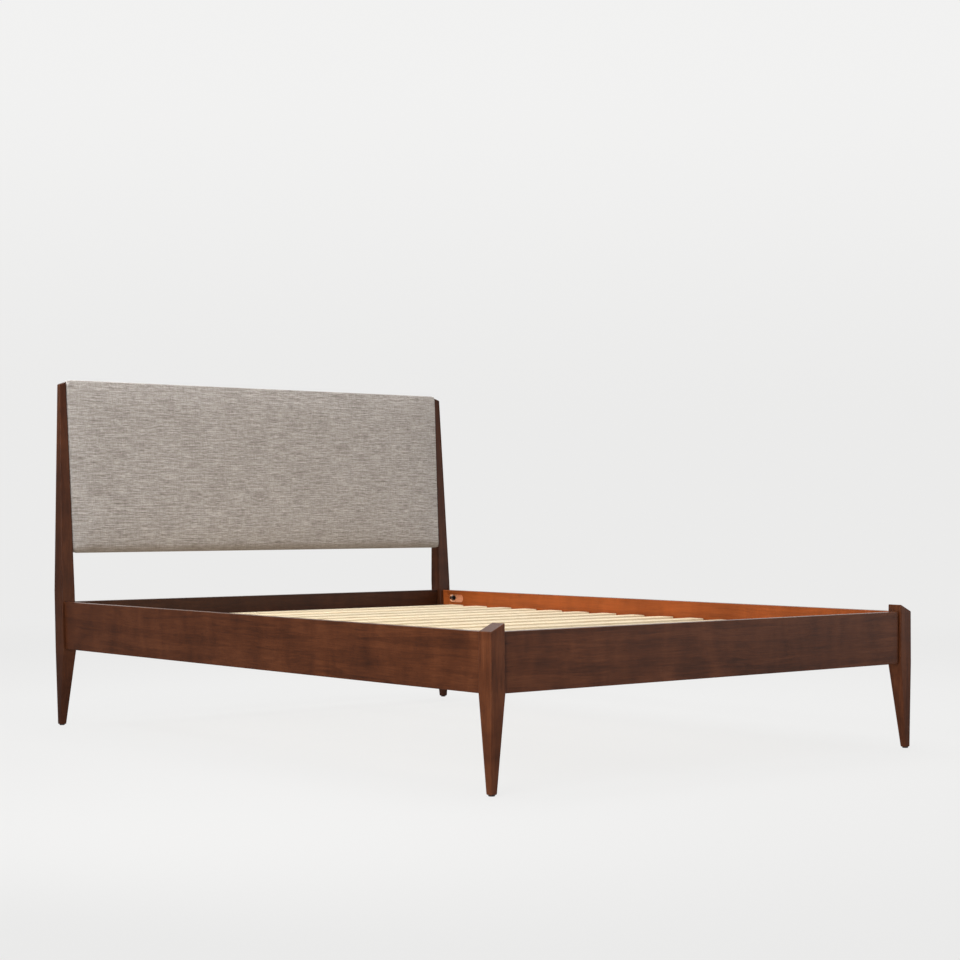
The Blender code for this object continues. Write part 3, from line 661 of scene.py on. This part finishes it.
def wrapped_sheet(roll, front, cell):
    """The upholstery: a grid over the front, and rings of points that carry it round the edges.

    Returns the builder, each point's place in the flat sheet, and the share of it that is free."""
    half, height = PAD_HALF_HIGH, PAD_HEIGHT
    columns = graded(-half + roll, half - roll, cell)
    rows = graded(roll, height - roll, cell)
    builder = bmesh.new()
    sheet, loose = [], []

    def add(across, up, back, s, t, free):
        sheet.append((s, t, 0.0))
        loose.append(free)
        return builder.verts.new(on_panel(across, up, back))

    def sunk(across, up):
        """How far the filling falls away from the front near an edge."""
        total = 0.0
        for inset in (half - roll - abs(across), up - roll, height - roll - up):
            total += max(0.0, 1.0 - inset / CROWN_REACH) ** 2
        return CROWN_DROP * min(1.0, total)

    grid = [[add(x, u, sunk(x, u) - front, x, u, 1.0) for x in columns] for u in rows]
    for lower, upper in zip(grid, grid[1:]):
        for i in range(len(columns) - 1):
            builder.faces.new((lower[i], lower[i + 1], upper[i + 1], upper[i]))
    last_column, last_row = len(columns) - 1, len(rows) - 1
    border = [(0, i) for i in range(last_column)]
    border += [(j, last_column) for j in range(last_row)]
    border += [(last_row, i) for i in range(last_column, 0, -1)]
    border += [(j, 0) for j in range(last_row, 0, -1)]
    ways = [((i == last_column) - (i == 0), (j == last_row) - (j == 0)) for j, i in border]

    def ring_at(out, back, far, free):
        ring = []
        for (j, i), (way_x, way_u) in zip(border, ways):
            across = columns[i] + way_x * out
            up = rows[j] + way_u * out
            middle_x = math.copysign(half - CORNER, across)
            middle_u = CORNER if up < height / 2 else height - CORNER
            past_x = (across - middle_x) * math.copysign(1, across)
            past_u = (up - middle_u) * (-1 if up < height / 2 else 1)
            if past_x > 0 and past_u > 0:
                reach = max(past_x, past_u)
                length = math.hypot(past_x, past_u)
                across = middle_x + math.copysign(past_x / length * reach, across)
                up = middle_u + past_u / length * reach * (-1 if up < height / 2 else 1)
            ring.append(add(across, up, back, columns[i] + way_x * far, rows[j] + way_u * far, free))
        return ring

    def stitch(first, second):
        for k in range(len(first)):
            n = (k + 1) % len(first)
            builder.faces.new((first[n], first[k], second[k], second[n]))

    rim = [grid[j][i] for j, i in border]
    for step in range(1, ROLL_STEPS + 1):
        angle = math.pi / 2 * step / ROLL_STEPS
        out = roll * math.sin(angle)
        edge = front - CROWN_DROP
        back = -edge + (edge - 0.001) * (1 - math.cos(angle))
        ring = ring_at(out, back, roll * angle, 1.0 - step / ROLL_STEPS)
        stitch(rim, ring)
        rim = ring
    far = roll * math.pi / 2
    rear = CORE_BACK + CLOTH
    outside = [(roll, 0.3 * rear, 0.3 * rear), (roll, 0.75 * rear, 0.75 * rear)]
    outside += [(roll - 0.0005, rear - 0.0012, rear), (roll - 0.0022, rear, rear + 0.002)]
    outside += [(roll - 0.008, rear, rear + 0.008), (roll - 0.018, rear, rear + 0.018)]
    outside += [(roll - LAP, rear - 0.0001, rear + LAP), (roll - LAP - 0.0004, rear - 0.0005, rear + LAP)]
    under = CORE_BACK + 0.0003
    outside += [(roll - LAP, under, rear + LAP), (roll - 0.010, under, rear + 0.01)]
    outside += [(roll - 0.0014, under, rear), (roll - 0.0014, 0.6 * under, 0.6 * rear)]
    outside += [(roll - 0.0014, 0.0001, 0.0), (roll - 0.006, 0.0, 0.0)]
    for out, back, more in outside:
        ring = ring_at(out, back, far + more, 0.0)
        stitch(rim, ring)
        rim = ring
    builder.faces.new(rim)
    bmesh.ops.recalc_face_normals(builder, faces=builder.faces)
    return builder, sheet, loose


def heathered_weave():
    """A plain weave of slub yarns: light and dark flecks drawn out along the weft, over a fine warp."""
    material, cloth = new_finish("heathered_slub_weave")
    sheet = cloth.node("ShaderNodeAttribute", {"attribute_name": "sheet"}, output="Vector")
    s, t, _ = cloth.parts(sheet)
    wander = (cloth.noise(sheet, 26.0, 2.0) - 0.5) * 0.0016
    weft_place = (t + wander) / YARN
    warp_place = (s + wander) / YARN
    weft_number = cloth.node("ShaderNodeMath", {"operation": "FLOOR"}, [weft_place])
    warp_number = cloth.node("ShaderNodeMath", {"operation": "FLOOR"}, [warp_place])
    weft_wave = cloth.node("ShaderNodeMath", {"operation": "SINE"}, [weft_place * math.pi])
    warp_wave = cloth.node("ShaderNodeMath", {"operation": "SINE"}, [warp_place * math.pi])
    over = cloth.ease(weft_wave * warp_wave, -0.25, 0.25)
    weft_yarn = cloth.node("ShaderNodeCombineXYZ", {}, [s * 62.0, weft_number * 5.31, 0.0])
    warp_yarn = cloth.node("ShaderNodeCombineXYZ", {}, [warp_number * 3.77, t * 90.0, 4.0])
    weft_tone = cloth.noise(weft_yarn, 1.0, 3.0, 0.62)
    warp_tone = cloth.noise(warp_yarn, 1.0, 2.0, 0.6)
    slubs = cloth.noise(sheet * (40.0, 520.0, 1.0), 1.0, 3.0, 0.64, 0.2)
    long_slubs = cloth.noise(sheet * (11.0, 300.0, 1.0) + (3.0, 7.0, 0.0), 1.0, 2.0, 0.55, 0.1)
    ghosts = cloth.noise(sheet * (330.0, 26.0, 1.0), 1.0, 2.0, 0.6)
    clouds = cloth.noise(sheet, 6.0, 2.0, 0.5)
    light, mid, dark = (0.620, 0.576, 0.545), (0.366, 0.330, 0.303), (0.185, 0.159, 0.138)
    stops = [(0.10, dark), (0.5, mid), (0.90, light)]
    tone = (slubs - 0.5) * 1.9 + (long_slubs - 0.5) * 1.5 + (ghosts - 0.5) * 0.6 + (clouds - 0.5) * 0.2
    weft = cloth.toned(0.52 + tone * 0.85 + (weft_tone - 0.5) * 0.9, stops)
    warp = cloth.toned(0.46 + tone * 0.6 + (warp_tone - 0.5) * 0.7, stops)
    colour = cloth.mixed(over, warp, weft)
    # Painted shade: the bottom roll is mixed towards a darker, warmer brown, standing in for the shade
    # under the headboard and warm bounce light from the wood below it.
    low_roll_shade = cloth.ease(t, EDGE_ROLL * 2.6, EDGE_ROLL * 0.2)
    colour = cloth.mixed(low_roll_shade * 0.62, colour, LOWER_EDGE_SHADE)
    height = over * abs(weft_wave) + (1 - over) * abs(warp_wave)
    fuzz = cloth.noise(sheet, 2600.0, 2.0, 0.7)
    relief = height * 0.7 + slubs * 0.55 + weft_tone * 0.3 + fuzz * 0.25
    values = {
        "Base Color": colour,
        "Roughness": 0.86 + (fuzz - 0.5) * 0.12,
        "Specular IOR Level": 0.18,
        "Sheen Weight": 0.22,
        "Sheen Roughness": 0.45,
        "Sheen Tint": (1.0, 0.97, 0.93, 1.0),
        "Normal": cloth.bumps(relief, 0.00055, 0.55),
    }
    cloth.surface(cloth.node("ShaderNodeBsdfPrincipled", {}, values))
    return material


upholstery_cloth = heathered_weave()
builder, sheet_points, loose_shares = wrapped_sheet(EDGE_ROLL, FRONT_START, CELL)
upholstery = new_piece("headboard_upholstery", builder, upholstery_cloth)
mesh = upholstery.data
attribute = mesh.attributes.new("sheet", "FLOAT_VECTOR", "POINT")
attribute.data.foreach_set("vector", np.array(sheet_points, np.float32).ravel())


def filled_out(piece, loose, limit, frames):
    """Fills a padded piece with air by cloth simulation, and keeps each point near where it began."""
    start = np.array([vert.co for vert in piece.data.vertices])
    held = piece.vertex_groups.new(name="held")
    for number, share in enumerate(loose):
        held.add([number], 1.0 - share, "REPLACE")
    cloth = piece.modifiers.new("stuffing", "CLOTH")
    settings = cloth.settings
    settings.quality = 5
    settings.mass = 0.35
    settings.tension_stiffness = 18.0
    settings.compression_stiffness = 12.0
    settings.shear_stiffness = 6.0
    settings.bending_stiffness = 0.35
    settings.vertex_group_mass = "held"
    settings.use_pressure = True
    settings.uniform_pressure_force = FILL_PRESSURE
    settings.effector_weights.gravity = 0.0
    cloth.collision_settings.use_collision = False
    scene = bpy.context.scene
    for number in range(1, frames + 1):
        scene.frame_set(number)
    solved = piece.evaluated_get(bpy.context.evaluated_depsgraph_get())
    found = np.array([vert.co for vert in solved.data.vertices])
    scene.frame_set(1)
    piece.modifiers.remove(cloth)
    piece.vertex_groups.remove(held)
    moved = found - start
    lengths = np.linalg.norm(moved, axis=1)
    kept = limit * np.tanh(lengths / limit)
    shares = np.clip(np.array(loose) * 1.6, 0.0, 1.0)
    start += moved * (kept * shares / np.maximum(lengths, 1e-9))[:, None]
    piece.data.vertices.foreach_set("co", start.astype(np.float32).ravel())
    piece.data.update()


filled_out(upholstery, loose_shares, CROWN_LIMIT, FILL_FRAMES)
mesh.shade_smooth()
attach(upholstery, "root")
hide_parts("headboard_pad")

# ---------------------------------------------------------------------------------------------
# Core board and dowels. A sheet of birch plywood with square edges that carries the pad, held
# between the posts on four plain steel dowels.
# ---------------------------------------------------------------------------------------------
PLY_PALE = (0.66, 0.49, 0.29)
PLY_DARK = (0.40, 0.26, 0.13)
PLY_LAYERS = 9


def plywood():
    """Birch plywood: pale wavy veneer on its faces, and thin crossed layers along its edges."""
    material, ply = new_finish("birch_plywood")
    here = ply.place()
    sway = (ply.noise(here, 4.0, 2.0) - 0.5) * 0.05
    veneer = ply.noise((here + sway) * (0.08, 1.0, 1.0), 60.0, 3.0, 0.6)
    depth = ply.node(
        "ShaderNodeVectorMath", {"operation": "DOT_PRODUCT"}, [here, tuple(BACKWARD)], output="Value"
    )
    layer = ply.node(
        "ShaderNodeMath", {"operation": "SINE"}, [(depth - PAD_BACK) * (math.pi * PLY_LAYERS / CORE_BACK)]
    )
    facing = ply.node(
        "ShaderNodeVectorMath",
        {"operation": "DOT_PRODUCT"},
        [ply.node("ShaderNodeNewGeometry", output="Normal"), tuple(BACKWARD)],
        output="Value",
    )
    edge = ply.ease(abs(facing), 0.7, 0.4)
    face_tone = ply.toned(veneer, [(0.3, PLY_DARK), (0.65, PLY_PALE)])
    edge_tone = ply.mixed(ply.ease(layer, -0.3, 0.3), PLY_DARK, PLY_PALE)
    values = {
        "Base Color": ply.mixed(edge, face_tone, edge_tone),
        "Roughness": 0.68 + (veneer - 0.5) * 0.2,
        "Normal": ply.bumps(veneer, 0.0002, 0.4),
    }
    ply.surface(ply.node("ShaderNodeBsdfPrincipled", {}, values))
    return material


nodes["headboard_core"].material_slots[0].material = plywood()
dress("headboard_dowel", zinc_steel)

# ---------------------------------------------------------------------------------------------
# Dust cover. A sheet of thin black non-woven cloth that hides the core board and the upholstery's
# raw edges. Its own edges are turned under, and a row of wire staples holds it all round.
# ---------------------------------------------------------------------------------------------
COVER_INSET = 0.020
COVER_CELL = 0.016
COVER_CLOTH = 0.0005
STAPLE_PITCH = 0.042
STAPLE_LENGTH = 0.0105
STAPLE_WIRE = 0.0006
STAPLE_EDGE = COVER_INSET + 0.006
STAPLE_BENDS = ((-1.0, -0.9), (-1.0, 0.3), (-0.86, 1.0), (0.86, 1.0), (1.0, 0.3), (1.0, -0.9))
LAP_EDGE = LAP - EDGE_ROLL
rng = np.random.default_rng(11)


def cover_depth(across, up):
    """How far back the cover lies: on the upholstery's lap near its edge, and on the core inside it."""
    edge = min(PAD_HALF_HIGH - abs(across), up, PAD_HEIGHT - up)
    ramp = min(1.0, max(0.0, (edge - LAP_EDGE) / 0.022))
    ramp = ramp * ramp * (3 - 2 * ramp)
    on_lap = CORE_BACK + CLOTH + 0.00035
    on_core = CORE_BACK + 0.0005
    slack = 0.0006 * math.sin(23 * across + 3 * up) * math.sin(31 * up + 4 * across) + 0.0007
    return on_lap * (1 - ramp) + (on_core + slack) * ramp


def black_cambric():
    """Thin bonded cloth, pressed with a fine pattern of dots, and a little open."""
    material, cloth = new_finish("black_cambric")
    here = cloth.place()
    x, _, z = cloth.parts(here)
    dots = cloth.node("ShaderNodeMath", {"operation": "SINE"}, [x * 2600.0])
    dots = dots * cloth.node("ShaderNodeMath", {"operation": "SINE"}, [z * 2600.0])
    fibres = cloth.noise(here, 900.0, 4.0, 0.7)
    creases = cloth.noise(here, 9.0, 3.0, 0.6)
    tone = cloth.toned(
        fibres * 0.7 + creases * 0.3, [(0.3, (0.012, 0.012, 0.013)), (0.75, (0.045, 0.045, 0.047))]
    )
    values = {
        "Base Color": tone,
        "Roughness": 0.9 - (fibres - 0.5) * 0.1,
        "Sheen Weight": 0.15,
        "Normal": cloth.bumps(dots * 0.4 + fibres * 0.6 + creases * 4.0, 0.0003, 0.6),
    }
    cloth.surface(cloth.node("ShaderNodeBsdfPrincipled", {}, values))
    return material


half, height = PAD_HALF_HIGH - COVER_INSET, PAD_HEIGHT - COVER_INSET
span = height - COVER_INSET
cells_across, cells_up = round(2 * half / COVER_CELL), round(span / COVER_CELL)
columns = [-half + 2 * half * i / cells_across for i in range(cells_across + 1)]
rows = [COVER_INSET + span * i / cells_up for i in range(cells_up + 1)]
builder = bmesh.new()
grid = []
for up in rows:
    grid.append([builder.verts.new(on_panel(across, up, cover_depth(across, up))) for across in columns])
for lower, upper in zip(grid, grid[1:]):
    for i in range(len(columns) - 1):
        builder.faces.new((lower[i + 1], lower[i], upper[i], upper[i + 1]))
cover = new_piece("headboard_back_cloth", builder, black_cambric())
cover.data.shade_smooth()
thickness = cover.modifiers.new("cloth", "SOLIDIFY")
thickness.thickness = COVER_CLOTH
thickness.offset = 1.0
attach(cover, "root")
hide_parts("headboard_dust_cover")
2 * half


def staple(builder, across, up, turn):
    """A wire staple pressed into the cover: a flat crown with both ends bent inwards."""
    along = Vector((math.cos(turn), 0, 0)) + UP_SLOPE * math.sin(turn)
    sideways = along.cross(BACKWARD)
    foot = on_panel(across, up, cover_depth(across, up) + COVER_CLOTH)
    rings = []
    for place, rise in STAPLE_BENDS:
        middle = foot + along * (place * STAPLE_LENGTH / 2) + BACKWARD * (rise * STAPLE_WIRE)
        if abs(place) < 1:
            thick = BACKWARD * (-STAPLE_WIRE * 0.7)
        else:
            thick = along * (-math.copysign(1, place) * 0.0005)
        wide = sideways * STAPLE_WIRE
        corners = (middle + wide, middle - wide, middle - wide + thick, middle + wide + thick)
        rings.append([builder.verts.new(corner) for corner in corners])
    for first, second in zip(rings, rings[1:]):
        for k in range(4):
            n = (k + 1) % 4
            builder.faces.new((first[k], first[n], second[n], second[k]))
    builder.faces.new(list(reversed(rings[0])))
    builder.faces.new(rings[-1])


builder = bmesh.new()
run_across, run_up = 2 * (PAD_HALF_HIGH - STAPLE_EDGE), PAD_HEIGHT - 2 * STAPLE_EDGE
for length, upright in ((run_across, False), (run_up, True)):
    count = round(length / STAPLE_PITCH)
    for i in range(count + 1):
        place = length * i / count + rng.normal(0, 0.0025)
        for far in (False, True):
            tilt = rng.normal(0, 0.12)
            if upright:
                across = (PAD_HALF_HIGH - STAPLE_EDGE) * (1 if far else -1)
                staple(builder, across, STAPLE_EDGE + place, math.pi / 2 + tilt)
            else:
                up = PAD_HEIGHT - STAPLE_EDGE if far else STAPLE_EDGE
                staple(builder, place - length / 2, up, tilt)
bmesh.ops.recalc_face_normals(builder, faces=builder.faces)
staples = new_piece("back_cloth_staples", builder, zinc_steel)
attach(staples, "root")

# ---------------------------------------------------------------------------------------------
# Floor glides. Small round pads of dark hard plastic, nailed under the four feet so that the bed
# slides without marking a floor.
# ---------------------------------------------------------------------------------------------
material, plastic = new_finish("glide_plastic")
here = plastic.place()
grains = plastic.noise(here, 1500.0, 3.0, 0.6)
scuffs = plastic.ease(plastic.noise(here * (1.0, 0.15, 1.0), 420.0, 2.0), 0.58, 0.75)
glide_tone = plastic.mixed(grains, (0.030, 0.027, 0.025), (0.055, 0.050, 0.046))
values = {
    "Base Color": plastic.mixed(scuffs * 0.4, glide_tone, (0.16, 0.15, 0.14)),
    "Roughness": 0.5 + (grains - 0.5) * 0.2 + scuffs * 0.15,
    "Normal": plastic.bumps(grains, 0.00008, 0.6),
}
plastic.surface(plastic.node("ShaderNodeBsdfPrincipled", {}, values))
dress("floor_glide", material)
